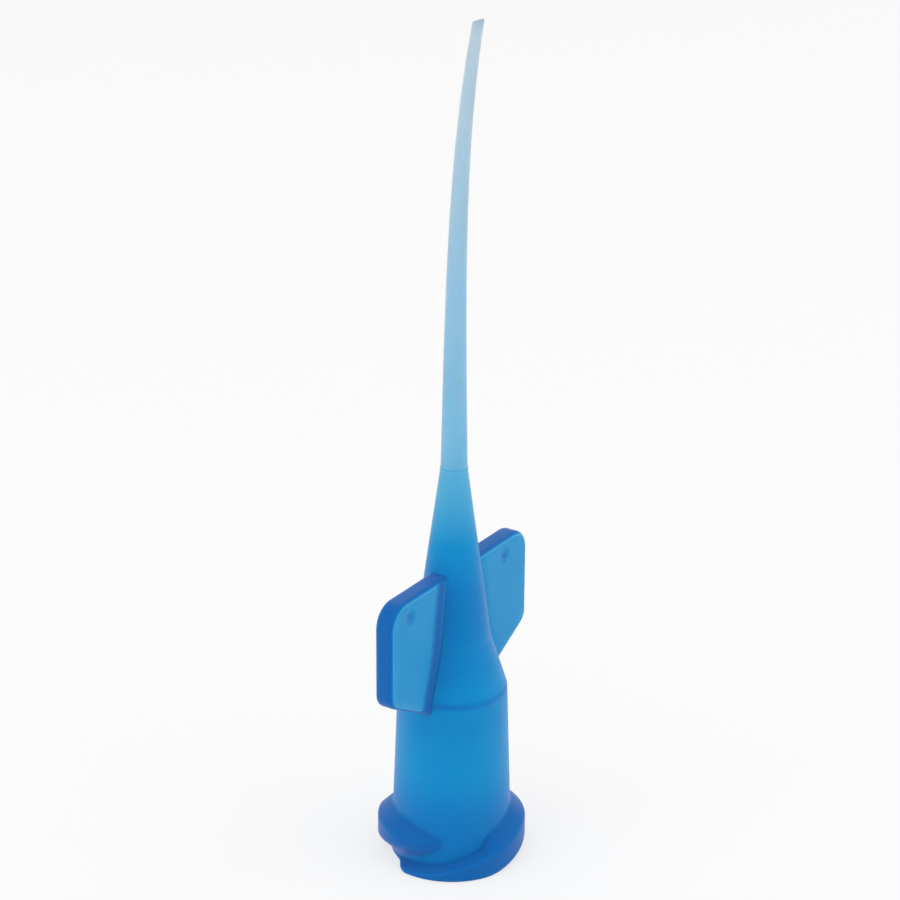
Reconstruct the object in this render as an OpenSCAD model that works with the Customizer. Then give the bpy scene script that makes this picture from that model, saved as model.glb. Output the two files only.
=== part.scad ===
// Tapered dispensing needle tip, moulded in one piece.
// A luer-lock hub with two grip wings carries a long cone and a thin flexible tube.
// The hub stands on its mouth, the tube points up along +Z, and the wings lie along X.

/* [Barrel and cone] */
// Outer diameter of the barrel at its base
barrel_base_d = 6.37; // [6.2:0.01:6.7]
// Outer diameter of the barrel where the shoulder starts
barrel_top_d = 5.69; // [5.4:0.01:6]
// Height of the barrel
barrel_h = 9.65; // [9.4:0.05:11]
// Height of the steep shoulder
shoulder_h = 2.8; // [1.5:0.05:3.5]
// Diameter where the shoulder meets the long cone
cone_base_d = 3.91; // [3.6:0.01:4.4]
// Height of the long cone
cone_h = 9.2; // [7:0.1:11]
// Diameter at the top of the long cone
cone_top_d = 1.41; // [1.38:0.01:1.6]

/* [Luer socket] */
// Diameter of the socket at its mouth
socket_mouth_d = 4.3; // [4.2:0.01:4.35]
// Diameter lost for each millimetre of socket depth
socket_taper = 0.06; // [0.05:0.005:0.07]
// Depth of the socket
socket_depth = 8; // [7.5:0.1:8.5]
// Wall left round the funnel at the top of the shoulder
funnel_wall = 1; // [0.7:0.05:1.2]

/* [Luer thread] */
// Diameter over the thread ridges
thread_d = 7.8; // [7.6:0.05:8]
// Height of the top edge of a full ridge above the mouth
thread_top = 2; // [1.8:0.05:2.4]
// Width of a ridge at its crest where it leaves the mouth
ridge_w = 1.18; // [1:0.02:1.3]
// Width of a ridge at its crest where it starts, at the mouth
ridge_start_w = 0.25; // [0.15:0.05:0.4]
// Least width of a ridge at its crest where it runs out
ridge_end_w = 0.5; // [0.3:0.05:0.7]
// Rise of a ridge's lower edge in one turn
lower_lead = 5; // [4.2:0.1:5.2]
// Rise of a ridge's upper edge in one turn
upper_lead = 6.2; // [5.4:0.1:6.6]
// Rise of the upper flank on the first part of a ridge
first_flank_h = 0.15; // [0.05:0.05:0.4]
// Rise of the upper flank on the rest of a ridge
full_flank_h = 0.72; // [0.5:0.02:0.9]
// Drop of the lower flank from crest to barrel
lower_flank_h = 0.7; // [0.4:0.05:0.9]
// Compass angle at which a ridge's lower edge leaves the mouth
thread_angle = 243; // [0:1:359]

/* [Grip wings] */
// Span over both wings
wing_span = 12.7; // [11.5:0.1:14.5]
// Thickness of the wings
wing_t = 1.08; // [0.8:0.02:1.3]
// Height of the wings' top edge above the mouth
wing_top = 16.4; // [15.5:0.05:17]
// Height above the mouth at which the wings' lower edge leaves the barrel
wing_root = 9.15; // [8.7:0.05:9.3]
// Slope of the wings' lower edge
wing_slope = 28.5; // [20:0.5:32]
// Radius of the upper outer corners
wing_top_r = 1.25; // [0.5:0.05:1.4]
// Radius of the lower outer corners
wing_low_r = 0.8; // [0.4:0.05:1]
// Rounding of the wings' edges
wing_edge_r = 0.25; // [0.1:0.01:0.35]

/* [Needle tube] */
// Height of the tube above the cone
tube_h = 23.1; // [16:0.1:26]
// Outer diameter of the tube at the cone
tube_base_d = 1.36; // [1.2:0.02:1.38]
// Outer diameter of the tube at its tip
tube_tip_d = 0.53; // [0.48:0.01:0.8]
// Bore of the tube at the cone
bore_base_d = 0.72; // [0.5:0.02:0.8]
// Bore of the tube at its tip
bore_tip_d = 0.3; // [0.2:0.01:0.34]
// Sideways bend of the tube at its tip
bend = 1.18; // [0:0.02:2.5]
// How late the bend comes: 2 is an even curve and more bends only near the tip
bend_power = 3.6; // [2:0.1:4.5]
// Slant of the cut at the tip, from square
tip_slant = 32; // [0:1:40]

/* [Hidden] */

pp_blue = "dodgerblue";
lap = 0.3;              // overshoot of a cut past the face that it opens
tube_root = 1;          // length of tube sunk in the cone
throat_step = 0.08;     // width by which the funnel starts above the bore and ends below it
ridge_root = 0.25;      // depth to which a ridge is sunk in the barrel
tube_sides = 24;
bore_sides = 16;
tube_rings = 26;
ridge_sections = 40;
skirt = 3;              // length below the mouth, cut off once the ridges are on

shoulder_top = barrel_h + shoulder_h;
cone_top = shoulder_top + cone_h;
socket_end_d = socket_mouth_d - socket_taper * socket_depth;

// Angles along a ridge, counted from where its lower edge leaves the mouth.
ridge_from = -94;
ridge_crest_from = -68;
flank_from = -1;
flank_to = 10;
ridge_crest_to = 92;
ridge_to = 144;

function mix(a, b, t) = a + (b - a) * min(1, max(0, t));
function ease(t) = let (c = min(1, max(0, t))) c * c * (3 - 2 * c);
function barrel_r(z) = mix(barrel_base_d, barrel_top_d, z / barrel_h) / 2;

// ---- swept shapes -------------------------------------------------------------

// Closed solid through a list of rings that all hold the same number of points.
module ring_loft(rings) {
    n = len(rings[0]);
    last = len(rings) - 1;
    sides = [
        for (k = [0 : last - 1], i = [0 : n - 1], half = [0, 1])
            let (j = (i + 1) % n)
            half == 0
                ? [k * n + i, (k + 1) * n + i, (k + 1) * n + j]
                : [k * n + i, (k + 1) * n + j, k * n + j]
    ];
    low_end = [[for (i = [0 : n - 1]) i]];
    high_end = [[for (i = [n - 1 : -1 : 0]) last * n + i]];
    polyhedron(points = [for (ring = rings) each ring], faces = concat(sides, low_end, high_end));
}

// ---- needle tube --------------------------------------------------------------

// Centre line of the tube: straight at the cone, bending towards -Y near the tip.
function bend_y(h) = -bend * pow(max(0, h) / tube_h, bend_power);
function bend_slope(h) = -bend * bend_power / tube_h * pow(max(0, h) / tube_h, bend_power - 1);

// Ring of points square to the centre line at height h above the cone.
function tube_ring(h, d, sides, slant) = [
    for (i = [0 : sides - 1])
        let (
            a = 360 * i / sides,
            lean = atan(bend_slope(h)),
            across = d / 2 * sin(a),
            along = -across * tan(slant)
        )
        [
            d / 2 * cos(a),
            bend_y(h) + across * cos(lean) + along * sin(lean),
            cone_top + h - across * sin(lean) + along * cos(lean)
        ]
];

module tube_solid(base_d, tip_d, sides, start, over, slant) {
    ring_loft([
        for (k = [0 : tube_rings])
            let (h = mix(start, tube_h, k / tube_rings) + (k == tube_rings ? over : 0))
            tube_ring(h, mix(base_d, tip_d, h / tube_h), sides, k == tube_rings ? slant : 0)
    ]);
}

// ---- luer thread --------------------------------------------------------------

// Heights and crest radius of a ridge at angle a along it.
function ridge_low(a) = min(thread_top - ridge_end_w, lower_lead * a / 360);
function ridge_high(a) = min(thread_top, max(ridge_start_w, ridge_w + upper_lead * a / 360));
function ridge_flank(a) = mix(first_flank_h, full_flank_h, ease((a - flank_from) / (flank_to - flank_from)));
function ridge_r(a) =
    let (
        run_in = (a - ridge_from) / (ridge_crest_from - ridge_from),
        run_out = (ridge_to - a) / (ridge_to - ridge_crest_to),
        floor_r = barrel_base_d / 2 - ridge_root / 2
    )
    mix(floor_r, thread_d / 2, min(ease(run_in), sqrt(max(0, min(1, run_out)))));

// Section of a ridge, with both flanks run on into the barrel.
function ridge_section(a) =
    let (
        crest = ridge_r(a),
        sink = barrel_base_d / 2 - ridge_root,
        reach = (crest - sink) / (thread_d / 2 - barrel_base_d / 2),
        turn = a + thread_angle,
        low = ridge_low(a),
        high = ridge_high(a),
        profile = [
            [sink, high + ridge_flank(a) * reach],
            [crest, high],
            [crest, low],
            [sink, low - lower_flank_h * reach]
        ]
    )
    [for (p = profile) [p[0] * cos(turn), p[0] * sin(turn), p[1]]];

module thread_ridge() {
    ring_loft([for (k = [0 : ridge_sections]) ridge_section(mix(ridge_from, ridge_to, k / ridge_sections))]);
}

// ---- grip wings ---------------------------------------------------------------

function corner_arc(x, z, r, from, to) = [
    for (k = [0 : 6])
        let (a = from + (to - from) * k / 6)
        [x + r * cos(a), z + r * sin(a)]
];

// Outline of both wings as one plate, drawn in by inset all round.
function wing_outline(inset) =
    let (
        x_top = wing_span / 2 - wing_top_r,
        x_low = wing_span / 2 - wing_low_r,
        z_low = wing_root + (x_low - barrel_r(wing_root)) * tan(wing_slope) + wing_low_r / cos(wing_slope),
        z_mid = wing_root - barrel_r(wing_root) * tan(wing_slope) + inset / cos(wing_slope),
        right = concat(
            corner_arc(x_low, z_low, wing_low_r - inset, wing_slope - 90, 0),
            corner_arc(x_top, wing_top - wing_top_r, wing_top_r - inset, 0, 90)
        )
    )
    concat([[0, z_mid]], right, [for (k = [len(right) - 1 : -1 : 0]) [-right[k][0], right[k][1]]]);

module wings() {
    hull() {
        for (a = [0 : 30 : 90]) {
            inset = wing_edge_r * (1 - cos(a));
            t = wing_t - 2 * wing_edge_r * (1 - sin(a));
            translate([0, t / 2, 0])
                rotate([90, 0, 0])
                    linear_extrude(height = t)
                        polygon(wing_outline(inset));
        }
    }
}

// ---- hub ----------------------------------------------------------------------

module hub_outside() {
    rotate_extrude($fn = 96)
        polygon([
            [0, -skirt],
            [barrel_base_d / 2, -skirt],
            [barrel_base_d / 2, 0],
            [barrel_top_d / 2, barrel_h],
            [cone_base_d / 2, shoulder_top],
            [cone_top_d / 2, cone_top],
            [0, cone_top]
        ]);
}

// Luer socket, then a funnel that narrows until the bore of the tube takes over.
module hub_inside() {
    rotate_extrude($fn = 96)
        polygon([
            [0, -lap],
            [(socket_mouth_d + socket_taper * lap) / 2, -lap],
            [socket_end_d / 2, socket_depth],
            [cone_base_d / 2 - funnel_wall, shoulder_top],
            [(bore_base_d + throat_step) / 2, cone_top - tube_root],
            [(bore_base_d - throat_step) / 2, cone_top],
            [0, cone_top]
        ]);
}

// Cuts the hub and the ridges level at the mouth.
module mouth_cut() {
    translate([0, 0, -2 * skirt])
        cylinder(h = 2 * skirt, d = 2 * thread_d, $fn = 96);
}

module needle_tip() {
    color(pp_blue)
        difference() {
            union() {
                hub_outside();
                wings();
                thread_ridge();
                rotate([0, 0, 180])
                    thread_ridge();
                tube_solid(tube_base_d, tube_tip_d, tube_sides, -tube_root, 0, tip_slant);
            }
            mouth_cut();
            hub_inside();
            tube_solid(bore_base_d, bore_tip_d, bore_sides, -tube_root / 2, lap, 0);
        }
}

needle_tip();
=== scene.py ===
"""Looks of a dispensing needle tip moulded in translucent blue polypropylene.

One piece stands for the whole moulding: luer-lock hub, two grip wings, long cone and bent tube,
with the socket and the bore through it. A stage holds the floor, the lights and the camera.
"""

import math

import bmesh
import bpy
from mathutils import Matrix, Vector
from mathutils.bvhtree import BVHTree


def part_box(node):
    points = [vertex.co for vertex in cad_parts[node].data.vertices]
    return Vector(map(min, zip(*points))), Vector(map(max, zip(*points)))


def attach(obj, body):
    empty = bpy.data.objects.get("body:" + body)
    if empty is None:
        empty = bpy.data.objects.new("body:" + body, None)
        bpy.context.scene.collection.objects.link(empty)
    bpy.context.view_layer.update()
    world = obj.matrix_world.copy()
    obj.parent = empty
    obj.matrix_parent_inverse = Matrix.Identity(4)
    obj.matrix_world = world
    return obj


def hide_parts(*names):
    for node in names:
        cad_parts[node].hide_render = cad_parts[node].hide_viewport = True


bl_info = {
    "name": "Dispensing needle tip",
    "version": (1, 0, 0),
    "blender": (4, 5, 0),
    "location": "View3D > Sidebar > Needle tip",
    "description": "Builds a translucent luer-lock dispensing tip and a plain studio round it",
    "category": "Add Mesh",
}

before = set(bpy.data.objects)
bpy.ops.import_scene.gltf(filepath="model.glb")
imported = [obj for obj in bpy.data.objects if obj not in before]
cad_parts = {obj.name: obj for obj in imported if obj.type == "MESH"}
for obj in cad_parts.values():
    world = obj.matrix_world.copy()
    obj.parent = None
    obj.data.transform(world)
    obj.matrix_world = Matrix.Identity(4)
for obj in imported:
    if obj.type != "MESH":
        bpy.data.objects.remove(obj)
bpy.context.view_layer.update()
CAD_LOW, CAD_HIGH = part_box("needle_tip")

MM = 0.001
PIECE_NAME = "needle_tip_moulding"

# How finely the surface is laid out.
COLUMNS = 180           # points round the axis
THREAD_ROWS = 80        # rows from the mouth to the plain barrel
THREAD_ZONE = 3 * MM    # height up to which the ridges reach
RIM_SAMPLES = 6         # samples on the rim's rounding
ZONE_SAMPLES = 240      # samples over the rest of the thread's section
HUB_STEP = 1.1 * MM     # longest step up the plain walls
BEND_STEPS = 4          # steps round a corner of the turned section
WING_COLUMNS = 6        # columns from the middle of a wing to its face
EDGE_STEPS = 4          # steps round a wing's edge rounding
ARC_STEPS = 4           # steps round half of a wing's outline corner
STRAIGHT_STEPS = 6      # steps along a wing's straight edges
STRAIGHT_POWER = 1.3    # above 1, those steps are shorter near the root
FILLET_STEPS = 4        # steps up a wing's root fillet
LOW_EDGE_PASSES = 4     # passes that find where the lower edge meets the hub
TUBE_RINGS = 44         # rings up the tube
SLANT_RINGS = 3         # rings over which the slant of the tip builds up

# An ejector pin's mark.
MARK_SIDES = 32
MARK_PATCH = 1.35       # radius cleared for it on the wing's face, as a share of its own
PATCH_FIT = 0.97        # radius of the first ring put there, as a share of what is cleared
MARK_PAINTED_SHADE = 0.25       # painted shade: how much thicker, in millimetres, the mark counts for each share of its depth, which darkens its recess
FLAT = 0.001            # how far a normal may lean on a face that counts as flat
# Its rings, as shares of its radius and depth.
MARK_STEPS = (
    (1.15, 0), (1.05, 0.04), (0.95, 0.25), (0.85, 0.7), (0.75, 0.95), (0.6, 1.0),
    (0.45, 1.05), (0.35, 1.4), (0.22, 2.1), (0.1, 2.4),
)

# Small fixed forms.
THROAT = 1.0 * MM       # depth of the bore's start below the cone's top
FUNNEL_R = 0.6 * MM     # rounding of the funnel's corners
MOUTH_R = 0.08 * MM     # rounding of the socket's mouth
COLLAR_R = 0.03 * MM    # rounding of the collar
LIP_R = 0.03 * MM       # rounding of the tip's outer edge

# Degrees along a ridge, counted from where its lower edge leaves the mouth.
RIDGE_FROM = -94
RIDGE_CREST_FROM = -68
FLANK_FROM = -1
FLANK_TO = 10
SPREAD_FROM = 75        # the lower flank spreads out between these
SPREAD_TO = 120
RIDGE_CREST_TO = 92
RIDGE_TO = 144
# How much wider or softer some parts of a ridge are than the rest.
FLANK_SPREAD = 1.5      # lower flank, where the ridge runs out
START_SOFTNESS = 3      # upper edge, where it starts to rise
MOUTH_SOFTNESS = 1.8    # root, at the mouth

# How the wall is measured.
LOOKS = 8                 # directions in which the wall is measured at a point
LOOK_ANGLE = math.radians(22)  # how far they lean from straight in
MOST_WALL = 4 * MM        # longest look
MOUTH_SHADE_WALL = 2.4 * MM     # painted shade: counted for a look that comes out through the rim, where the floor keeps light out
AT_MOUTH = 0.01 * MM      # height under which a look comes out there
PASSAGE = 2 * MM          # width of a passage over which the far wall's share falls off
SKIN = 0.01 * MM          # distance below the surface at which a look starts
SMOOTHINGS = 2            # times that a point's wall is averaged with its neighbours'

# How the measured wall is corrected. Thicknesses are in millimetres.
PAINTED_FLOOR_LIGHT = 1.1         # painted light from the floor: taken off where a ridge faces the floor, which makes it paler
RIM_TOP = 0.2 * MM        # height above which that is done
EDGE_HIGHLIGHT_WALL = 0.95          # painted highlight: set on the rounding of the wings' edges, which gives them a pale line
ROOT_SHADE_WALL = 2.3           # painted shade: set beside the -X wing's root, which darkens a band there
CLEAR_COLUMNS = WING_COLUMNS + 5  # column at which the hub is clear of a wing's thick root
CLEAR_BELOW = 4           # rows by which that root shows under the wing
CLEAR_ABOVE = 3           # rows by which it shows over the wing
# Painted light and shade on the hub's walls: what is added to them, as height and thickness; less
# thickness paints the hub lighter, more paints it darker.
HUB_LIGHT_AND_SHADE = (
    (8.3, 0), (9.0, -0.25), (10.4, -0.3), (11.3, -0.15), (12.4, -0.1),
    (13.2, 0.05), (14.5, 0.2), (16.0, 0.2), (18.0, 0.05), (19.5, 0),
)

# Thickness at which each colour of the finish stands.
WALL_TONES = {
    "tip": 0.2, "tube": 0.42, "foot": 0.62, "cone": 0.85,
    "wall": 1.17, "shoulder": 1.5, "deep": 2.0,
}
RAMP_END = 3.0            # thickness at the end of the ramp
DRIFT = 0.06              # most that the noise adds to a thickness or takes off
FOOT_PAINTED_SHADE = 0.42         # painted shade: added at the barrel's foot, which darkens it towards the bottom
FOOT_FROM = 2.2 * MM      # height up to which all of it is added
FOOT_TO = 6.0 * MM        # height at which none is left
SHOULDER_LINE_PAINTED_SHADE = 0.3          # painted shade: added on a dark line at the shoulder's foot
LINE_HEIGHT = 9.66 * MM   # height of that line
LINE_REACH = 0.28 * MM    # distance from the line at which none is left
CLEAREST = (0.1, 0.65)    # thickness, and share of the light that passes
LEAST_CLEAR = (1.2, 0.1)

# The stage: name, place, size in metres and watts of each soft box.
LAMPS = (
    ("left_softbox", (-0.30, 0.05, 0.22), 0.45, 0.5),
    ("right_softbox", (0.15, -0.30, 0.24), 0.45, 0.4),
)
LAMP_AIM = Vector((0, 0, 0.02))
FLOOR_R = 2.0


# ---- settings ----------------------------------------


def length(name, description, default, least=0.0):
    """A length setting in metres."""
    return bpy.props.FloatProperty(
        name=name, description=description, default=default, min=least, unit="LENGTH", precision=5
    )


def angle(name, description, degrees):
    """An angle setting, given in degrees and kept in radians."""
    return bpy.props.FloatProperty(
        name=name, description=description, default=math.radians(degrees), subtype="ANGLE"
    )


def factor(name, description, default):
    """A plain share between 0 and 1."""
    return bpy.props.FloatProperty(
        name=name, description=description, default=default, min=0.0, max=1.0, subtype="FACTOR"
    )


def colour(name, description, default):
    """A colour setting, in linear light."""
    return bpy.props.FloatVectorProperty(
        name=name, description=description, default=default,
        size=3, min=0.0, max=1.0, subtype="COLOR",
    )


class HubSettings(bpy.types.PropertyGroup):
    """Barrel, shoulder, cone and socket."""

    barrel_base_d: length("Barrel base", "Diameter of the barrel at the mouth", 6.37 * MM)
    barrel_top_d: length("Barrel top", "Diameter of the barrel under the shoulder", 5.69 * MM)
    barrel_h: length("Barrel height", "Height of the barrel", 9.65 * MM)
    shoulder_h: length("Shoulder height", "Height of the steep shoulder", 2.8 * MM)
    cone_base_d: length("Cone base", "Diameter at the foot of the long cone", 3.91 * MM)
    cone_h: length("Cone height", "Height of the long cone", 9.2 * MM)
    cone_top_d: length("Cone top", "Diameter at the top of the long cone", 1.42 * MM)
    rim_r: length("Rim rounding", "Rounding of the rim at the mouth", 0.12 * MM)
    break_r: length("Shoulder rounding", "Rounding where the barrel meets the shoulder", 0.9 * MM)
    socket_d: length("Socket mouth", "Diameter of the luer socket at the mouth", 4.3 * MM)
    socket_taper: factor("Socket taper", "Diameter lost for each unit of depth", 0.06)
    socket_depth: length("Socket depth", "Depth of the luer socket", 8.0 * MM)
    funnel_wall: length("Funnel wall", "Wall round the funnel at the cone's foot", 1.0 * MM)


class ThreadSettings(bpy.types.PropertyGroup):
    """The two luer ridges."""

    over_d: length("Over the ridges", "Diameter over the ridges", CAD_HIGH.y - CAD_LOW.y)
    top: length("Top edge", "Height of a full ridge's top edge", 2.0 * MM)
    width: length("Crest width", "Width of the crest where it leaves the mouth", 1.18 * MM)
    start_w: length("Start width", "Width of the crest where a ridge starts", 0.25 * MM)
    end_w: length("End width", "Least width of the crest where a ridge runs out", 0.5 * MM)
    lower_lead: length("Lower lead", "Rise of the lower edge in a turn", 5.0 * MM)
    upper_lead: length("Upper lead", "Rise of the upper edge in a turn", 6.2 * MM)
    first_flank: length("First flank", "Rise of the upper flank on the first stretch", 0.15 * MM)
    full_flank: length("Full flank", "Rise of the upper flank on the full stretch", 0.72 * MM)
    lower_flank: length("Lower flank", "Drop of the lower flank", 0.7 * MM)
    edge_r: length("Edge rounding", "Softness of the ridges' edges", 0.12 * MM)
    root_r: length("Root rounding", "Softness of the ridges' roots", 0.15 * MM)
    turn: angle("Turn", "Compass angle at which a lower edge leaves the mouth", 243)


class WingSettings(bpy.types.PropertyGroup):
    """The two grip wings."""

    span: length("Span", "Span over both wings", CAD_HIGH.x - CAD_LOW.x)
    thickness: length("Thickness", "Thickness of a wing", 1.08 * MM)
    top: length("Top", "Height of the top edge", 16.4 * MM)
    root: length("Root", "Height at which the lower edge leaves the barrel", 9.15 * MM)
    slope: angle("Slope", "Slope of the lower edge", 28.5)
    top_r: length("Upper corner", "Radius of the upper outer corner", 1.25 * MM)
    low_r: length("Lower corner", "Radius of the lower outer corner", 0.8 * MM)
    edge_r: length("Edge rounding", "Rounding of the edges", 0.25 * MM)
    fillet_r: length("Fillet", "Fillet between a wing and the hub", 0.16 * MM)
    mark_r: length("Mark radius", "Radius of the ejector pin's mark", 0.45 * MM)
    mark_depth: length("Mark depth", "Depth of the ejector pin's mark", 0.03 * MM)
    mark_in: length("Mark inset", "Distance of the mark from the outer end", 1.96 * MM)
    mark_down: length("Mark drop", "Distance of the mark below the top edge", 0.9 * MM)
    mark_shift: length("Mark shift", "How far both marks lie towards +X", -0.33 * MM, -1 * MM)


class TubeSettings(bpy.types.PropertyGroup):
    """The thin bent tube."""

    height: length("Height", "Height of the tube above the cone", 23.1 * MM)
    base_d: length("Base", "Outer diameter at the cone", 1.36 * MM)
    tip_d: length("Tip", "Outer diameter at the tip", 0.53 * MM)
    bore_base_d: length("Bore at base", "Bore at the cone", 0.72 * MM)
    bore_tip_d: length("Bore at tip", "Bore at the tip", 0.3 * MM)
    bend: length("Bend", "Sideways bend at the tip", 1.18 * MM)
    bend_power: bpy.props.FloatProperty(
        name="Bend power", description="How late the bend comes", default=3.6, min=1.0
    )
    slant: angle("Slant", "Slant of the cut at the tip", 32)
    collar_h: length("Collar height", "Height of the small collar at the cone's top", 0.18 * MM)


class FinishSettings(bpy.types.PropertyGroup):
    """Colours of the plastic by the thickness of its wall, and the stage's tones."""

    tip: colour("Tip", "Colour of the thinnest wall, at the tube's tip", (0.71, 0.87, 0.98))
    tube: colour("Tube", "Colour half way up the tube", (0.43, 0.72, 0.96))
    foot: colour("Tube foot", "Colour of the tube near the cone", (0.14, 0.565, 0.87))
    cone: colour("Cone top", "Colour of the wall at the cone's top", (0.09, 0.49, 0.77))
    wall: colour("Wall", "Colour of the barrel's wall", (0.0, 0.30, 0.63))
    shoulder: colour("Shoulder", "Colour of the shoulder's wall", (0.0, 0.225, 0.57))
    deep: colour("Deep blue", "Colour of the thick parts", (0.0, 0.14, 0.45))
    floor: colour("Floor", "Colour of the floor", (0.9, 0.9, 0.9))
    surround: factor("Surroundings", "Strength of the white surroundings", 0.8)
    glow: factor("Floor glow", "Share of the floor that is seen plain white", 0.65)


class ViewSettings(bpy.types.PropertyGroup):
    """Where the camera stands."""

    distance: length("Distance", "Distance from the aim", 135 * MM)
    compass: angle("Compass", "Compass angle of the picture's right side", -57.12)
    rise: angle("Rise", "Angle above the floor", 22.61)
    roll: angle("Roll", "Turn of the camera about its view", 0.39)
    aim_height: length("Aim height", "Height of the aim on the axis", 22.73 * MM)
    aim_side: length("Aim side", "Distance of the aim right of the axis", -0.21 * MM, -10 * MM)
    lens: bpy.props.FloatProperty(
        name="Lens", description="Focal length in millimetres", default=107.96, min=1
    )


# ---- small maths -------------------------------------


def mix(a, b, t):
    """Straight blend from a to b, held at its ends."""
    return a + (b - a) * min(1.0, max(0.0, t))


def ease(t):
    """Smooth step from 0 to 1."""
    c = min(1.0, max(0.0, t))
    return c * c * (3 - 2 * c)


def smooth_max(a, b, k):
    """The larger of a and b, with the change from one to the other rounded over about k."""
    h = max(k - abs(a - b), 0.0) / k
    return max(a, b) + h * h * k / 4


def smooth_min(a, b, k):
    """The smaller of a and b, rounded over about k."""
    return -smooth_max(-a, -b, k)


def rounded_chain(corners):
    """Points of a chain of (r, z, radius) corners, with each radius drawn as an arc."""
    points = []
    for k, (r, z, radius) in enumerate(corners):
        here = Vector((r, z))
        if radius <= 0 or k in (0, len(corners) - 1):
            points.append(here)
            continue
        back = (Vector(corners[k - 1][:2]) - here).normalized()
        ahead = (Vector(corners[k + 1][:2]) - here).normalized()
        half = back.angle(ahead) / 2
        reach = radius / math.tan(half)
        centre = here + (back + ahead).normalized() * (radius / math.sin(half))
        start, end = here + back * reach - centre, here + ahead * reach - centre
        for i in range(BEND_STEPS + 1):
            points.append(centre + start.lerp(end, i / BEND_STEPS).normalized() * radius)
    return points


def with_steps(points, step):
    """The same chain with extra points, so that no piece of it is longer than step."""
    chain = [points[0]]
    for a, b in zip(points, points[1:]):
        pieces = max(1, math.ceil((b - a).length / step))
        chain += [a.lerp(b, i / pieces) for i in range(1, pieces + 1)]
    return chain


def evenly(points, count):
    """The chain again as count + 1 points at even distances along it."""
    marks = [0.0]
    for a, b in zip(points, points[1:]):
        marks.append(marks[-1] + (b - a).length)
    even, k = [], 0
    for i in range(count + 1):
        mark = marks[-1] * i / count
        while k < len(points) - 2 and marks[k + 1] < mark:
            k += 1
        even.append(points[k].lerp(points[k + 1], (mark - marks[k]) / (marks[k + 1] - marks[k])))
    return even


def closest(values, target):
    """Index of the value closest to target."""
    return min(range(len(values)), key=lambda k: abs(values[k] - target))


# ---- hub: one turned shell ---------------------------


class Hub:
    """The turned shell: radii, heights and the numbers of its rows."""

    def __init__(self, hub, wing, tube):
        self.size = hub
        self.shoulder_top = hub.barrel_h + hub.shoulder_h
        self.cone_top = self.shoulder_top + hub.cone_h
        # Heights where the wings' faces start and end on the hub, inside their rounded edges.
        self.wing_low = wing.root + wing.edge_r / math.cos(wing.slope)
        self.wing_high = wing.top - wing.edge_r
        self.inside = self.inner_chain(tube)
        self.outside = self.outer_chain(tube)
        self.first_thread_row = len(self.inside) - 1
        self.first_plain_row = self.first_thread_row + THREAD_ROWS
        heights = [p.y for p in self.outside]
        self.low_row = self.first_plain_row + closest(heights, self.wing_low)
        self.high_row = self.first_plain_row + closest(heights, self.wing_high)
        self.last_row = self.first_plain_row + len(self.outside) - 1

    def outer_r(self, z):
        """Outer radius at height z, without the roundings."""
        hub = self.size
        if z < hub.barrel_h:
            return mix(hub.barrel_base_d, hub.barrel_top_d, z / hub.barrel_h) / 2
        if z < self.shoulder_top:
            return mix(hub.barrel_top_d, hub.cone_base_d, (z - hub.barrel_h) / hub.shoulder_h) / 2
        return mix(hub.cone_base_d, hub.cone_top_d, (z - self.shoulder_top) / hub.cone_h) / 2

    def inner_chain(self, tube):
        """From the throat down the funnel and the socket, and over the mouth to its outer rim."""
        hub = self.size
        socket_end_d = hub.socket_d - hub.socket_taper * hub.socket_depth
        corners = [
            (tube.bore_base_d / 2, self.cone_top - THROAT, 0),
            (hub.cone_base_d / 2 - hub.funnel_wall, self.shoulder_top, FUNNEL_R),
            (socket_end_d / 2, hub.socket_depth, FUNNEL_R),
            (hub.socket_d / 2, 0, MOUTH_R),
            (hub.barrel_base_d / 2 - hub.rim_r, 0, 0),
        ]
        return with_steps(rounded_chain(corners), HUB_STEP)

    def outer_chain(self, tube):
        """From the top of the thread up the barrel, the shoulder and the cone to the tube."""
        hub = self.size
        collar_r = hub.cone_top_d / 2
        tube_r = tube.base_d / 2
        collar_top = self.cone_top + tube.collar_h
        low, high = ((self.outer_r(z), z, 0) for z in (self.wing_low, self.wing_high))
        below = [(self.outer_r(THREAD_ZONE), THREAD_ZONE, 0), low]
        beside = [
            low,
            (hub.barrel_top_d / 2, hub.barrel_h, hub.break_r),
            (hub.cone_base_d / 2, self.shoulder_top, hub.break_r),
            high,
        ]
        above = [
            high,
            (collar_r, self.cone_top, COLLAR_R),
            (collar_r, collar_top, COLLAR_R),
            (tube_r, collar_top + COLLAR_R, COLLAR_R / 2),
            (tube_r, collar_top + 4 * COLLAR_R, 0),
        ]
        return (
            with_steps(rounded_chain(below), HUB_STEP)
            + with_steps(rounded_chain(beside), HUB_STEP / 2)[1:]
            + with_steps(rounded_chain(above), HUB_STEP)[1:]
        )


def add_turned_shell(bm, hub):
    """Spins the hub's section into a shell, with its rows and columns numbered."""
    row = bm.verts.layers.int.new("row")
    column = bm.verts.layers.int.new("column")
    bm.verts.layers.int.new("ring")
    barrel_r = hub.size.barrel_base_d / 2
    thread = [Vector((barrel_r, THREAD_ZONE * i / THREAD_ROWS)) for i in range(1, THREAD_ROWS)]
    points = hub.inside + thread + hub.outside
    chain = [bm.verts.new((p.x, 0, p.y)) for p in points]
    for k, vert in enumerate(chain):
        vert[row] = k
    edges = [bm.edges.new(pair) for pair in zip(chain, chain[1:])]
    bmesh.ops.spin(
        bm, geom=chain + edges, cent=(0, 0, 0), axis=(0, 0, 1),
        angle=math.tau, steps=COLUMNS, use_merge=True,
    )
    for vert in bm.verts:
        vert[column] = round(math.atan2(vert.co.y, vert.co.x) / math.tau * COLUMNS) % COLUMNS


def wing_column(column):
    """How far a column is from the middle of its wing, and that wing's side: 1 is +X, -1 is -X."""
    half = COLUMNS // 2
    off = (column + half // 2) % half - half // 2
    side = 1 if (column + half // 2) % COLUMNS < half else -1
    return off, side


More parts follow.
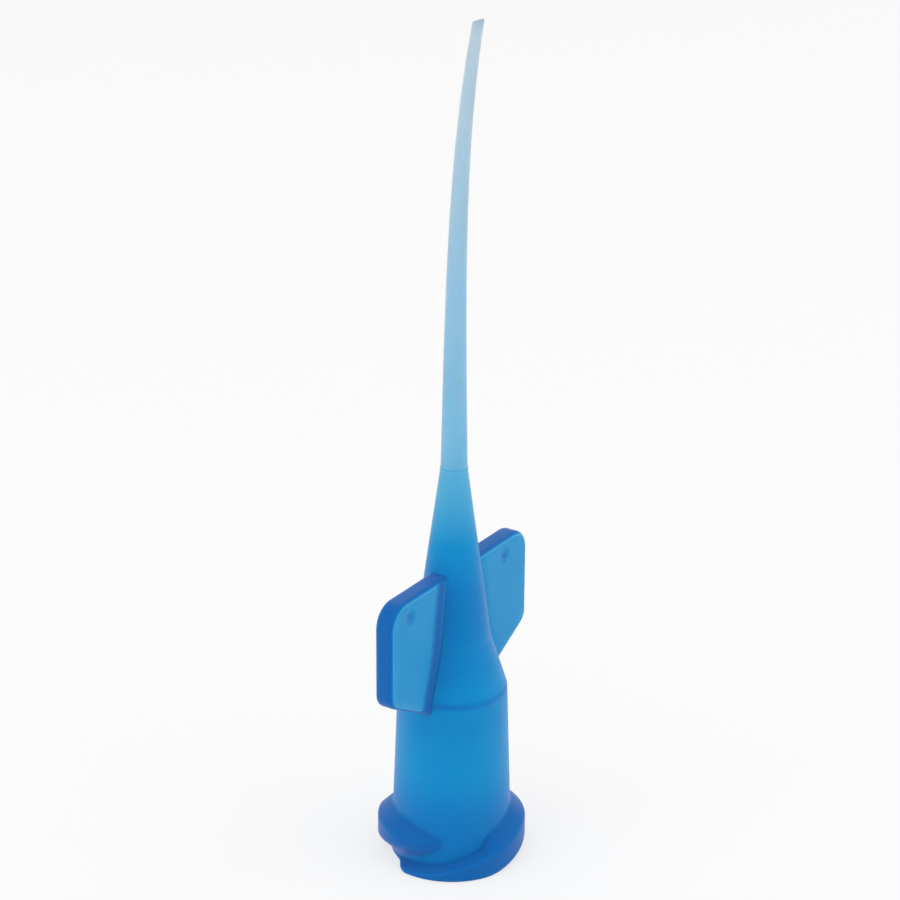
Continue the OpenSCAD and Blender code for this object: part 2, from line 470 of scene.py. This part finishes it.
def space_columns(bm, hub, wing):
    """Draws the columns beside the wings together, so that they run along the wings' fillets."""
    row = bm.verts.layers.int["row"]
    column = bm.verts.layers.int["column"]
    quarter = COLUMNS // 4
    foot = wing.thickness / 2 + wing.fillet_r
    for vert in bm.verts:
        z = vert.co.z
        if vert[row] < hub.first_plain_row:
            continue
        share = ease((z - THREAD_ZONE) / (hub.wing_low - THREAD_ZONE))
        share *= ease((hub.cone_top - z) / (hub.cone_top - hub.wing_high))
        off, side = wing_column(vert[column])
        r = math.hypot(vert.co.x, vert.co.y)
        foot_angle = math.asin(min(1, foot / r))
        if abs(off) <= WING_COLUMNS:
            drawn = foot_angle * abs(off) / WING_COLUMNS
        else:
            beyond = (abs(off) - WING_COLUMNS) / (quarter - WING_COLUMNS)
            drawn = foot_angle + (math.pi / 2 - foot_angle) * beyond
        even = math.pi / 2 * abs(off) / quarter
        turn = math.copysign(mix(even, drawn, share), off)
        vert.co.x = side * r * math.cos(turn)
        vert.co.y = side * r * math.sin(turn)


# ---- luer thread -------------------------------------


def ridge_reach(thread, barrel_r, a, z):
    """Radius of a ridge's surface at a degrees along it and height z, or 0 past its ends."""
    if not RIDGE_FROM < a < RIDGE_TO:
        return 0.0
    run_in = (a - RIDGE_FROM) / (RIDGE_CREST_FROM - RIDGE_FROM)
    run_out = (RIDGE_TO - a) / (RIDGE_TO - RIDGE_CREST_TO)
    edge_r = thread.edge_r
    stand = thread.over_d / 2 - barrel_r
    share = min(ease(run_in), math.sqrt(ease(run_out)))
    crest = barrel_r - thread.root_r + (stand + thread.root_r) * share
    low = smooth_min(thread.top - thread.end_w, thread.lower_lead * a / 360, edge_r)
    rising = thread.width + thread.upper_lead * a / 360
    high = smooth_max(thread.start_w, rising, START_SOFTNESS * edge_r)
    high = smooth_min(thread.top, high, edge_r)
    stepped = ease((a - FLANK_FROM) / (FLANK_TO - FLANK_FROM))
    flank = mix(thread.first_flank, thread.full_flank, stepped)
    spread = mix(1.0, FLANK_SPREAD, ease((a - SPREAD_FROM) / (SPREAD_TO - SPREAD_FROM)))
    upper = crest - (z - high) * stand / flank
    lower = crest - (low - z) * stand / (thread.lower_flank * spread)
    return smooth_min(smooth_min(upper, lower, edge_r), crest, edge_r)


def thread_section(hub, thread, theta):
    """Points (r, z) up the barrel and its ridges at compass angle theta."""
    rim = hub.size.rim_r
    barrel_r = hub.size.barrel_base_d / 2
    heights = [rim * (1 - math.cos(math.pi / 2 * i / RIM_SAMPLES)) for i in range(RIM_SAMPLES)]
    heights += [mix(rim, THREAD_ZONE, i / ZONE_SAMPLES) for i in range(ZONE_SAMPLES + 1)]
    along = math.degrees(theta - thread.turn)
    points = []
    for z in heights:
        r = hub.outer_r(z)
        root_r = thread.root_r * mix(MOUTH_SOFTNESS, 1.0, z / thread.top)
        for half_turn in (0, 180):
            a = (along + half_turn - RIDGE_FROM) % 360 + RIDGE_FROM
            r = smooth_max(r, ridge_reach(thread, barrel_r, a, z), root_r)
        if z < rim:
            r -= rim - math.sqrt(max(0.0, rim * rim - (rim - z) ** 2))
        points.append(Vector((r, z)))
    return evenly(points, THREAD_ROWS)


def shape_thread(bm, hub, thread):
    """Moves the rows over the mouth out to the two ridges."""
    row = bm.verts.layers.int["row"]
    column = bm.verts.layers.int["column"]
    sections = [thread_section(hub, thread, math.tau * k / COLUMNS) for k in range(COLUMNS)]
    for vert in bm.verts:
        step = vert[row] - hub.first_thread_row
        if 0 <= step <= THREAD_ROWS:
            point = sections[vert[column]][step]
            theta = math.tau * vert[column] / COLUMNS
            vert.co = (point.x * math.cos(theta), point.x * math.sin(theta), point.y)


# ---- grip wings --------------------------------------


class Wing:
    """Where each point of the +X wing lies. Rings go outwards, and rows go up."""

    def __init__(self, wing, hub, rows):
        self.size = wing
        self.hub = hub
        self.rows = rows  # (radius, height) of the hub's rows beside the wing
        self.last = len(rows) - 1
        self.core_t = wing.thickness / 2 - wing.edge_r
        out = wing.span / 2
        low_x = out - wing.low_r
        low_z = wing.root + (low_x - hub.outer_r(wing.root)) * math.tan(wing.slope)
        self.low_centre = Vector((low_x, low_z + wing.low_r / math.cos(wing.slope)))
        self.top_centre = Vector((out - wing.top_r, wing.top - wing.top_r))
        self.low_normal = wing.slope - math.pi / 2
        self.rings = FILLET_STEPS + STRAIGHT_STEPS + ARC_STEPS
        self.lay_out()

    def corner(self, centre, radius, start, end):
        """Points and outward normals on a corner of the outline, drawn in by the edge rounding."""
        arc = []
        for i in range(ARC_STEPS + 1):
            turn = mix(start, end, i / ARC_STEPS)
            normal = Vector((math.cos(turn), math.sin(turn)))
            arc.append((centre + normal * (radius - self.size.edge_r), normal))
        return arc

    def lay_out(self):
        """Paths along the bottom, the top and the outer end, and the root line."""
        wing = self.size
        half_t = wing.thickness / 2
        self.root = [
            Vector((math.sqrt(r * r - half_t * half_t) + wing.fillet_r, z)) for r, z in self.rows
        ]
        lift = self.low_line(self.root[0].x) - self.root[0].y
        for b, point in enumerate(self.root):
            point.y += lift * (1 - b / self.last)
        middle_low, middle_top = self.low_normal / 2, math.pi / 4
        low = self.corner(self.low_centre, wing.low_r, self.low_normal, middle_low)
        top = self.corner(self.top_centre, wing.top_r, math.pi / 2, middle_top)
        self.low_path = self.straight(self.root[0], *low[0])[:-1] + low
        self.top_path = self.straight(self.root[-1], *top[0])[:-1] + top
        low_end = self.corner(self.low_centre, wing.low_r, middle_low, 0)
        top_end = self.corner(self.top_centre, wing.top_r, 0, middle_top)
        steps = self.last - 2 * ARC_STEPS
        normal = Vector((1, 0))
        between = [(low_end[-1][0].lerp(top_end[0][0], i / steps), normal) for i in range(1, steps)]
        self.end_path = low_end + between + top_end

    def low_line(self, x):
        """Height of the lower edge at distance x from the axis, drawn in by the edge rounding."""
        beyond = x - self.hub.outer_r(self.size.root)
        return self.hub.wing_low + beyond * math.tan(self.size.slope)

    def straight(self, start, end, normal):
        """Steps from the root to the start of a corner, shorter near the root."""
        shares = [(i / STRAIGHT_STEPS) ** STRAIGHT_POWER for i in range(STRAIGHT_STEPS + 1)]
        return [(start.lerp(end, share), normal) for share in shares]

    def face_point(self, ring, b):
        """Point of the wing's flat face, blended from its four sides."""
        i = ring - FILLET_STEPS
        w = i / (self.rings - FILLET_STEPS)
        v = b / self.last
        low, top = self.low_path[i][0], self.top_path[i][0]
        root, end = self.root[b], self.end_path[b][0]
        corners = (
            self.root[0] * (1 - w) * (1 - v) + self.root[-1] * (1 - w) * v
            + self.end_path[0][0] * w * (1 - v) + self.end_path[-1][0] * w * v
        )
        return root * (1 - w) + end * w + low * (1 - v) + top * v - corners

    def across(self, a, spread):
        """Distance from the wing's middle plane, and reach past its inner outline, at column a."""
        rounding = self.size.edge_r + spread
        flat = WING_COLUMNS - EDGE_STEPS
        if abs(a) <= flat:
            return self.core_t * a / flat, rounding
        psi = math.pi / 2 * (WING_COLUMNS - abs(a)) / EDGE_STEPS
        return math.copysign(self.core_t + rounding * math.cos(psi), a), rounding * math.sin(psi)

    def beside_hub(self, y, z, lift):
        """Distance from the axis plane at which the hub's surface lies, plus lift."""
        r = self.hub.outer_r(z)
        return math.sqrt(r * r - y * y) + lift

    def root_point(self, ring, a, b):
        """Point on the fillet between the hub and the wing."""
        wing = self.size
        tau = math.pi / 2 * ring / FILLET_STEPS
        spread = wing.fillet_r * (1 - math.sin(tau))
        lift = wing.fillet_r * (1 - math.cos(tau))
        y, reach = self.across(a, spread)
        if 0 < b < self.last:
            r, z = self.rows[b]
            z = mix(z, self.root[b].y, ring / FILLET_STEPS)
            return Vector((math.sqrt(r * r - y * y) + lift, y, z))
        if b == self.last:
            z = self.hub.wing_high + reach
            return Vector((self.beside_hub(y, z, lift), y, z))
        z = self.hub.wing_low
        for _ in range(LOW_EDGE_PASSES):
            x = self.beside_hub(y, z, lift)
            start = x - reach * math.sin(wing.slope)
            z = self.low_line(start) - reach * math.cos(wing.slope)
        return Vector((x, y, z))

    def point(self, ring, a, b):
        """Place of ring, column a and row b on the wing at +X."""
        if ring <= FILLET_STEPS:
            return self.root_point(ring, a, b)
        y, reach = self.across(a, 0.0)
        i = ring - FILLET_STEPS
        if b == 0:
            flat, normal = self.low_path[i]
        elif b == self.last:
            flat, normal = self.top_path[i]
        else:
            flat, normal = self.face_point(ring, b), self.end_path[b][1]
        flat = flat + normal * reach
        return Vector((flat.x, y, flat.y))


def add_wing(bm, hub, wing_size, side):
    """Draws a wing out of the hub's side, ring by ring."""
    row = bm.verts.layers.int["row"]
    column = bm.verts.layers.int["column"]
    number = bm.verts.layers.int["ring"]

    def place(verts, wing, ring):
        for vert in verts:
            a = wing_column(vert[column])[0]
            point = wing.point(ring, a, vert[row] - hub.low_row)
            vert.co = (side * point.x, side * point.y, point.z)
            vert[number] = ring

    def in_foot(vert):
        off, its_side = wing_column(vert[column])
        beside = hub.low_row <= vert[row] <= hub.high_row
        return beside and its_side == side and abs(off) <= WING_COLUMNS

    foot = [v for v in bm.verts if in_foot(v)]
    middle = sorted((v for v in foot if wing_column(v[column])[0] == 0), key=lambda v: v[row])
    wing = Wing(wing_size, hub, [(abs(v.co.x), v.co.z) for v in middle])
    inside = set(foot)
    faces = [f for f in bm.faces if all(v in inside for v in f.verts)]
    place(foot, wing, 0)
    for ring in range(1, wing.rings + 1):
        made = bmesh.ops.extrude_face_region(bm, geom=faces)["geom"]
        kept = [f for f in faces if f.is_valid]
        bmesh.ops.delete(bm, geom=kept, context="FACES")
        faces = [g for g in made if isinstance(g, bmesh.types.BMFace)]
        place([g for g in made if isinstance(g, bmesh.types.BMVert)], wing, ring)


def mark_wing(bm, wing, side):
    """Sinks an ejector pin's round mark, with a dot in its middle, in a wing's -Y face, and paints
    shade into its recess by counting it thicker.
    """
    wall = bm.verts.layers.float["wall"]
    out = side * (wing.span / 2 - wing.mark_in) + wing.mark_shift
    centre = Vector((out, -wing.thickness / 2, wing.top - wing.mark_down))
    patch_r = wing.mark_r * MARK_PATCH

    def reached(face):
        if abs(face.normal.y + 1) > FLAT:
            return False
        xs, zs = [v.co.x for v in face.verts], [v.co.z for v in face.verts]
        off_x = max(min(xs) - centre.x, 0, centre.x - max(xs))
        off_z = max(min(zs) - centre.z, 0, centre.z - max(zs))
        return math.hypot(off_x, off_z) < patch_r

    bmesh.ops.delete(bm, geom=[f for f in bm.faces if reached(f)], context="FACES")
    hole = [e for e in bm.edges if e.is_boundary]
    around = [v for v in bm.verts if v.is_boundary]
    plate = sum(v[wall] for v in around) / len(around)
    turn = Matrix.Translation(centre) @ Matrix.Rotation(math.pi / 2, 4, "X")
    reach = patch_r * PATCH_FIT
    circle = bmesh.ops.create_circle(bm, segments=MARK_SIDES, radius=reach, matrix=turn)
    for vert in circle["verts"]:
        vert[wall] = plate
    edges = [e for e in bm.edges if e.is_wire]
    bmesh.ops.triangle_fill(bm, use_beauty=True, edges=hole + edges, normal=(0, -1, 0))
    for share, depth in MARK_STEPS:
        made = bmesh.ops.extrude_edge_only(bm, edges=edges)["geom"]
        verts = [g for g in made if isinstance(g, bmesh.types.BMVert)]
        edges = [g for g in made if isinstance(g, bmesh.types.BMEdge) and g.is_boundary]
        factor, reach = wing.mark_r * share / reach, wing.mark_r * share
        for vert in verts:
            vert.co = centre + (vert.co - centre) * factor
            vert.co.y = centre.y + wing.mark_depth * depth
            # Painted shade, deeper towards the mark's middle.
            vert[wall] = plate + MARK_PAINTED_SHADE * depth
    bmesh.ops.contextual_create(bm, geom=edges)


# ---- bent tube ---------------------------------------


def tube_ring(hub, tube, share, r, slant):
    """Maps a compass angle to a point of the ring at that share of the tube's height."""
    height = tube.height * share
    offset = -tube.bend * share ** tube.bend_power
    lean = math.atan(-tube.bend * tube.bend_power / tube.height * share ** (tube.bend_power - 1))

    def point(theta):
        across = r * math.sin(theta)
        along = -across * math.tan(slant)
        return Vector((
            r * math.cos(theta),
            offset + across * math.cos(lean) + along * math.sin(lean),
            hub.cone_top + height - across * math.sin(lean) + along * math.cos(lean),
        ))

    return point


def draw_out(bm, edges, point):
    """Extrudes an open loop of edges and puts the new loop on a ring."""
    column = bm.verts.layers.int["column"]
    made = bmesh.ops.extrude_edge_only(bm, edges=edges)["geom"]
    for vert in made:
        if isinstance(vert, bmesh.types.BMVert):
            vert.co = point(math.tau * vert[column] / COLUMNS)
    return [g for g in made if isinstance(g, bmesh.types.BMEdge) and g.is_boundary]


def add_tube(bm, hub, tube):
    """Draws the hub's open top out into the tube and the bore up to its tip, and closes the lip."""
    row = bm.verts.layers.int["row"]

    def open_loop(number):
        return [e for e in bm.edges if e.is_boundary and all(v[row] == number for v in e.verts)]

    outer, inner = open_loop(hub.last_row), open_loop(0)
    start = hub.outside[-1].y - hub.cone_top
    for k in range(1, TUBE_RINGS + 1):
        share = mix(start / tube.height, 1.0, k / TUBE_RINGS)
        near_tip = max(0.0, 1 - (TUBE_RINGS - k) / SLANT_RINGS)
        outer_r = mix(tube.base_d, tube.tip_d, share) / 2
        bore_r = mix(tube.bore_base_d, tube.bore_tip_d, share) / 2
        slant = math.atan(math.tan(tube.slant) * near_tip)
        below_lip = share if k < TUBE_RINGS else 1 - LIP_R / tube.height
        outer = draw_out(bm, outer, tube_ring(hub, tube, below_lip, outer_r, slant))
        inner = draw_out(bm, inner, tube_ring(hub, tube, share, bore_r, slant))
    outer = draw_out(bm, outer, tube_ring(hub, tube, 1, tube.tip_d / 2 - LIP_R, tube.slant))
    bmesh.ops.bridge_loops(bm, edges=outer + inner)


# ---- finish ------------------------------------------


def look_in(tree, start, direction):
    """Thickness of the wall in a direction, the gap past it and the point where the gap starts."""
    end, _, _, thick = tree.ray_cast(start + direction * SKIN, direction, MOST_WALL)
    if end is None:
        return MOST_WALL, MOST_WALL, start
    gap = tree.ray_cast(end + direction * SKIN, direction, 2 * MOST_WALL)[3]
    return thick, gap or 2 * MOST_WALL, end


def measure_walls(bm):
    """Stores at each point how much plastic lies behind it, in millimetres, with painted shade
    where a look comes out through the rim on the floor or crosses a narrow passage.
    """
    wall = bm.verts.layers.float.new("wall")
    bm.normal_update()
    tree = BVHTree.FromBMesh(bm)
    upright = Vector((0, 0, 1))
    for vert in bm.verts:
        inward = -vert.normal
        side = inward.cross(upright)
        if side.length <= 0.01:
            side = inward.orthogonal()
        side = side.normalized() * math.tan(LOOK_ANGLE)
        thick, gap, end = look_in(tree, vert.co, inward)
        total = 0.0
        for k in range(LOOKS):
            lean = Matrix.Rotation(math.tau * k / LOOKS, 3, inward) @ side
            direction = (inward + lean).normalized()
            hit, _, _, distance = tree.ray_cast(vert.co + direction * SKIN, direction, MOST_WALL)
            if hit is None:
                distance = MOST_WALL
            elif hit.z < AT_MOUTH:  # little light comes in, because the rim is on the floor
                distance = max(distance, MOUTH_SHADE_WALL)
            total += distance
        if end.z < AT_MOUTH:
            thick = max(thick, MOUTH_SHADE_WALL)
        near = (total + thick) / (LOOKS + 1)
        far = 0.0
        if gap < 2 * MOST_WALL:  # the wall across a narrow passage counts too: partly the plastic that light passes through, partly painted shade where little light gets into the passage
            far = look_in(tree, end + inward * (gap + SKIN), inward)[0] * math.exp(-gap / PASSAGE)
        vert[wall] = (near + min(far, near)) / MM
    for _ in range(SMOOTHINGS):
        sums = [sum(e.other_vert(v)[wall] for e in v.link_edges) for v in bm.verts]
        means = [total / len(v.link_edges) for v, total in zip(bm.verts, sums)]
        for vert, mean in zip(bm.verts, means):
            vert[wall] = (vert[wall] + mean) / 2


def tune_walls(bm, hub):
    """Paints light and shade into the walls: paler faces under the ridges for light from the floor,
    painted light and shade on the hub by height, a painted highlight on the wings' edges and
    painted shade beside the -X wing's root; and keeps the wings' thick roots from darkening the
    hub.
    """
    row = bm.verts.layers.int["row"]
    column = bm.verts.layers.int["column"]
    ring = bm.verts.layers.int["ring"]
    wall = bm.verts.layers.float["wall"]
    plain = {}
    for vert in bm.verts:
        # Painted light from the floor on the ridges' faces that look down.
        if hub.first_thread_row < vert[row] < hub.first_plain_row and vert.co.z > RIM_TOP:
            vert[wall] -= PAINTED_FLOOR_LIGHT * max(0, -vert.normal.z)
        if vert[ring] > 0 or vert[row] <= hub.first_plain_row:
            continue
        # Painted light and shade on the hub by height.
        for (low, below), (high, above) in zip(HUB_LIGHT_AND_SHADE, HUB_LIGHT_AND_SHADE[1:]):
            if low * MM <= vert.co.z < high * MM:
                vert[wall] += mix(below, above, (vert.co.z / MM - low) / (high - low))
        off, side = wing_column(vert[column])
        if abs(off) == CLEAR_COLUMNS:
            plain[vert[row], side, off > 0] = vert[wall]
    for vert in bm.verts:
        off, side = wing_column(vert[column])
        beside_wing = hub.low_row - CLEAR_BELOW <= vert[row] <= hub.high_row + CLEAR_ABOVE
        if not beside_wing or abs(off) >= CLEAR_COLUMNS:
            continue
        if vert[ring] <= FILLET_STEPS:  # the fillet fades into the plain wall
            beside = plain[vert[row], side, off > 0]
            vert[wall] = mix(beside, vert[wall], ease(2 * vert[ring] / FILLET_STEPS - 0.6))
        # Painted shade: a dark band beside the -X wing's root.
        elif vert[ring] == FILLET_STEPS + 1 and side == -1 and off > 0:
            vert[wall] = ROOT_SHADE_WALL
        # Painted highlight: a pale line on the rounding of the wings' edges.
        elif abs(off) == WING_COLUMNS - 1:
            vert[wall] = EDGE_HIGHLIGHT_WALL


def add_node(tree, kind, x, y, **values):
    """A shader node at a place in the tree, with some of its inputs set by name."""
    node = tree.nodes.new(kind)
    node.location = (x, y)
    for name, value in values.items():
        node.inputs[name.replace("_", " ")].default_value = value
    return node


def add_maths(tree, operation, x, y, first, second=None):
    """The result of a maths node on an output and another output or a number."""
    node = add_node(tree, "ShaderNodeMath", x, y)
    node.operation = operation
    tree.links.new(first, node.inputs[0])
    if isinstance(second, bpy.types.NodeSocket):
        tree.links.new(second, node.inputs[1])
    elif second is not None:
        node.inputs[1].default_value = second
    return node.outputs[0]


def add_range(tree, x, y, source, smooth=False, **values):
    """The result of a map range node on an output."""
    node = add_node(tree, "ShaderNodeMapRange", x, y, **values)
    if smooth:
        node.interpolation_type = "SMOOTHSTEP"
    tree.links.new(source, node.inputs["Value"])
    return node.outputs[0]


def add_noise(tree, x, y, place, **values):
    """The result of a noise node at a place."""
    node = add_node(tree, "ShaderNodeTexNoise", x, y, **values)
    tree.links.new(place, node.inputs["Vector"])
    return node.outputs["Fac"]


def plastic_material(finish):
    """Translucent polypropylene: paler and clearer where the wall is thin."""
    material = bpy.data.materials.new("blue_polypropylene")
    material.use_nodes = True
    tree = material.node_tree
    link = tree.links.new
    shader = tree.nodes["Principled BSDF"]
    shader.inputs["IOR"].default_value = 1.49
    shader.inputs["Specular IOR Level"].default_value = 0.03
    shader.inputs["Sheen Weight"].default_value = 0.16
    shader.inputs["Sheen Roughness"].default_value = 0.5
    shader.inputs["Sheen Tint"].default_value = (1.0, 0.5, 0.8, 1)
    shader.inputs["Subsurface Weight"].default_value = 0.5
    shader.inputs["Subsurface Radius"].default_value = (0.3, 0.8, 1.0)
    shader.inputs["Subsurface Scale"].default_value = 0.8 * MM

    place = add_node(tree, "ShaderNodeTexCoord", -1400, 0).outputs["Object"]
    wall = add_node(tree, "ShaderNodeAttribute", -1400, 300)
    wall.attribute_name = "wall"

    flow = add_noise(tree, -1200, 100, place, Scale=260.0, Detail=3.0, Roughness=0.5)
    drift = add_range(tree, -1000, 100, flow, To_Min=-DRIFT, To_Max=DRIFT)
    height = add_node(tree, "ShaderNodeSeparateXYZ", -1200, -100)
    link(place, height.inputs[0])
    # Painted shade, darker towards the barrel's foot.
    foot = add_range(
        tree, -1000, -100, height.outputs["Z"], smooth=True,
        From_Min=FOOT_FROM, From_Max=FOOT_TO, To_Min=FOOT_PAINTED_SHADE, To_Max=0.0,
    )
    # Painted shade: a dark line at the shoulder's foot.
    above_line = add_maths(tree, "SUBTRACT", -1200, -400, height.outputs["Z"], LINE_HEIGHT)
    off_line = add_maths(tree, "ABSOLUTE", -1100, -400, above_line)
    line = add_range(
        tree, -1000, -400, off_line, smooth=True,
        From_Max=LINE_REACH, To_Min=SHOULDER_LINE_PAINTED_SHADE, To_Max=0.0,
    )
    thickness = wall.outputs["Fac"]
    for k, part in enumerate((drift, foot, line)):
        thickness = add_maths(tree, "ADD", -800 + 100 * k, 250, thickness, part)

    scaled = add_range(tree, -600, 250, thickness, From_Max=RAMP_END)
    ramp = add_node(tree, "ShaderNodeValToRGB", -400, 300)
    stops = ramp.color_ramp.elements
    while len(stops) < len(WALL_TONES):
        stops.new(1.0)
    for stop, (name, tone_wall) in zip(stops, WALL_TONES.items()):
        stop.position = tone_wall / RAMP_END
        stop.color = (*getattr(finish, name), 1)
    link(scaled, ramp.inputs["Fac"])
    link(ramp.outputs["Color"], shader.inputs["Base Color"])

    clear = add_range(
        tree, -400, 0, wall.outputs["Fac"],
        From_Min=CLEAREST[0], From_Max=LEAST_CLEAR[0], To_Min=CLEAREST[1], To_Max=LEAST_CLEAR[1],
    )
    link(clear, shader.inputs["Transmission Weight"])

    cloud = add_noise(tree, -800, -200, place, Scale=700.0, Detail=4.0)
    satin = add_range(tree, -400, -250, cloud, From_Min=0.3, From_Max=0.7, To_Min=0.34, To_Max=0.42)
    link(satin, shader.inputs["Roughness"])

    grain = add_noise(tree, -800, -450, place, Scale=6000.0, Detail=2.0)
    bump = add_node(tree, "ShaderNodeBump", -400, -500, Strength=0.06, Distance=0.02 * MM)
    link(grain, bump.inputs["Height"])
    link(bump.outputs["Normal"], shader.inputs["Normal"])
    return material


def new_piece(name, bm, material):
    """A smooth shaded object in the scene, made from the mesh."""
    mesh = bpy.data.meshes.new(name)
    bm.to_mesh(mesh)
    bm.free()
    mesh.materials.append(material)
    mesh.shade_smooth()
    piece = bpy.data.objects.new(name, mesh)
    bpy.context.scene.collection.objects.link(piece)
    return piece


class NEEDLETIP_OT_moulding(bpy.types.Operator):
    """Build the whole moulding: hub, wings, cone and tube in one piece"""

    bl_idname = "needletip.moulding"
    bl_label = "Needle tip moulding"

    def execute(self, context):
        scene = context.scene
        wing, tube = scene.tip_wing, scene.tip_tube
        hub = Hub(scene.tip_hub, wing, tube)
        bm = bmesh.new()
        add_turned_shell(bm, hub)
        space_columns(bm, hub, wing)
        shape_thread(bm, hub, scene.tip_thread)
        for side in (1, -1):
            add_wing(bm, hub, wing, side)
        add_tube(bm, hub, tube)
        bmesh.ops.recalc_face_normals(bm, faces=bm.faces)
        measure_walls(bm)
        tune_walls(bm, hub)
        for side in (1, -1):
            mark_wing(bm, wing, side)
        bmesh.ops.recalc_face_normals(bm, faces=bm.faces)
        piece = new_piece(PIECE_NAME, bm, plastic_material(scene.tip_finish))
        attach(piece, "root")
        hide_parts("needle_tip")
        return {"FINISHED"}


# ---- stage -------------------------------------------


class NEEDLETIP_OT_stage(bpy.types.Operator):
    """Build the floor, the lights and the camera"""

    bl_idname = "needletip.stage"
    bl_label = "Stage"

    def execute(self, context):
        scene = context.scene
        add_floor(scene.tip_finish)
        add_world(scene.tip_finish)
        add_lamps()
        add_camera(scene)
        scene.view_settings.view_transform = "Standard"
        return {"FINISHED"}


def seen_through(tree):
    """1 for rays from the camera, for mirrored rays and for rays through the plastic, else 0."""
    path = add_node(tree, "ShaderNodeLightPath", -900, 0)
    total = path.outputs["Is Camera Ray"]
    for k, name in enumerate(("Is Glossy Ray", "Is Transmission Ray")):
        total = add_maths(tree, "MAXIMUM", -700 + 180 * k, 0, total, path.outputs[name])
    return total


def add_floor(finish):
    """A plain pale floor, which looks nearly white and keeps the tip's shadow."""
    bm = bmesh.new()
    bmesh.ops.create_circle(bm, cap_ends=True, radius=FLOOR_R, segments=64)
    material = bpy.data.materials.new("pale_floor")
    material.use_nodes = True
    tree = material.node_tree
    shader = tree.nodes["Principled BSDF"]
    shader.inputs["Base Color"].default_value = (*finish.floor, 1)
    shader.inputs["Roughness"].default_value = 0.9
    shader.inputs["Specular IOR Level"].default_value = 0.2
    white = add_node(tree, "ShaderNodeEmission", 0, -200)
    share = add_range(tree, -200, 100, seen_through(tree), To_Max=finish.glow)
    both = add_node(tree, "ShaderNodeMixShader", 200, 0)
    tree.links.new(share, both.inputs["Fac"])
    tree.links.new(shader.outputs[0], both.inputs[1])
    tree.links.new(white.outputs[0], both.inputs[2])
    tree.links.new(both.outputs[0], tree.nodes["Material Output"].inputs["Surface"])
    floor = new_piece("floor", bm, material)


def add_world(finish):
    """Even white surroundings."""
    world = bpy.data.worlds.new("studio")
    bpy.context.scene.world = world
    world.use_nodes = True
    tree = world.node_tree
    background = tree.nodes["Background"]
    background.inputs["Color"].default_value = (1, 1, 1, 1)
    strength = add_range(tree, -200, 0, seen_through(tree), To_Min=finish.surround)
    tree.links.new(strength, background.inputs["Strength"])


def add_lamps():
    """Two soft boxes."""
    for name, place, size, watts in LAMPS:
        light = bpy.data.lights.new(name, "AREA")
        light.energy = watts
        light.shape = "SQUARE"
        light.size = size
        lamp = bpy.data.objects.new(name, light)
        lamp.location = place
        lamp.rotation_euler = (LAMP_AIM - Vector(place)).to_track_quat("-Z", "Y").to_euler()
        bpy.context.scene.collection.objects.link(lamp)


def add_camera(scene):
    """The camera, set by its distance, height angle and compass angle."""
    view = scene.tip_view
    camera_data = bpy.data.cameras.new("camera")
    camera_data.lens = view.lens
    camera_data.sensor_width = 36
    camera_data.clip_start = 0.01
    camera_data.clip_end = 10
    camera = bpy.data.objects.new("camera", camera_data)
    across = Vector((math.cos(view.compass), math.sin(view.compass), 0))
    back = Vector((
        math.sin(view.compass) * math.cos(view.rise),
        -math.cos(view.compass) * math.cos(view.rise),
        math.sin(view.rise),
    ))
    up = back.cross(across)
    place = Vector((0, 0, view.aim_height)) + across * view.aim_side + back * view.distance
    right = across * math.cos(view.roll) + up * math.sin(view.roll)
    above = up * math.cos(view.roll) - across * math.sin(view.roll)
    turn = Matrix((right, above, back)).transposed()
    camera.matrix_world = Matrix.Translation(place) @ turn.to_4x4()
    scene.collection.objects.link(camera)
    scene.camera = camera


# ---- add-on ------------------------------------------


SETTINGS = (
    ("tip_hub", HubSettings),
    ("tip_thread", ThreadSettings),
    ("tip_wing", WingSettings),
    ("tip_tube", TubeSettings),
    ("tip_finish", FinishSettings),
    ("tip_view", ViewSettings),
)
OPERATORS = (NEEDLETIP_OT_moulding, NEEDLETIP_OT_stage)


class NEEDLETIP_PT_panel(bpy.types.Panel):
    """The sidebar panel that lists the steps and their settings"""

    bl_idname = "NEEDLETIP_PT_panel"
    bl_label = "Needle tip"
    bl_space_type = "VIEW_3D"
    bl_region_type = "UI"
    bl_category = "Needle tip"

    def draw(self, context):
        layout = self.layout
        for operator in OPERATORS:
            layout.operator(operator.bl_idname)
        for name, group in SETTINGS:
            box = layout.box()
            box.label(text=group.__doc__)
            values = getattr(context.scene, name)
            for field in group.__annotations__:
                box.prop(values, field)


def register():
    for name, group in SETTINGS:
        bpy.utils.register_class(group)
        setattr(bpy.types.Scene, name, bpy.props.PointerProperty(type=group))
    for cls in (*OPERATORS, NEEDLETIP_PT_panel):
        bpy.utils.register_class(cls)


def unregister():
    for cls in (NEEDLETIP_PT_panel, *reversed(OPERATORS)):
        bpy.utils.unregister_class(cls)
    for name, group in reversed(SETTINGS):
        delattr(bpy.types.Scene, name)
        bpy.utils.unregister_class(group)


def main():
    """Builds everything in order."""
    register()
    bpy.ops.needletip.moulding()
    bpy.ops.needletip.stage()


if __name__ == "__main__":
    main()
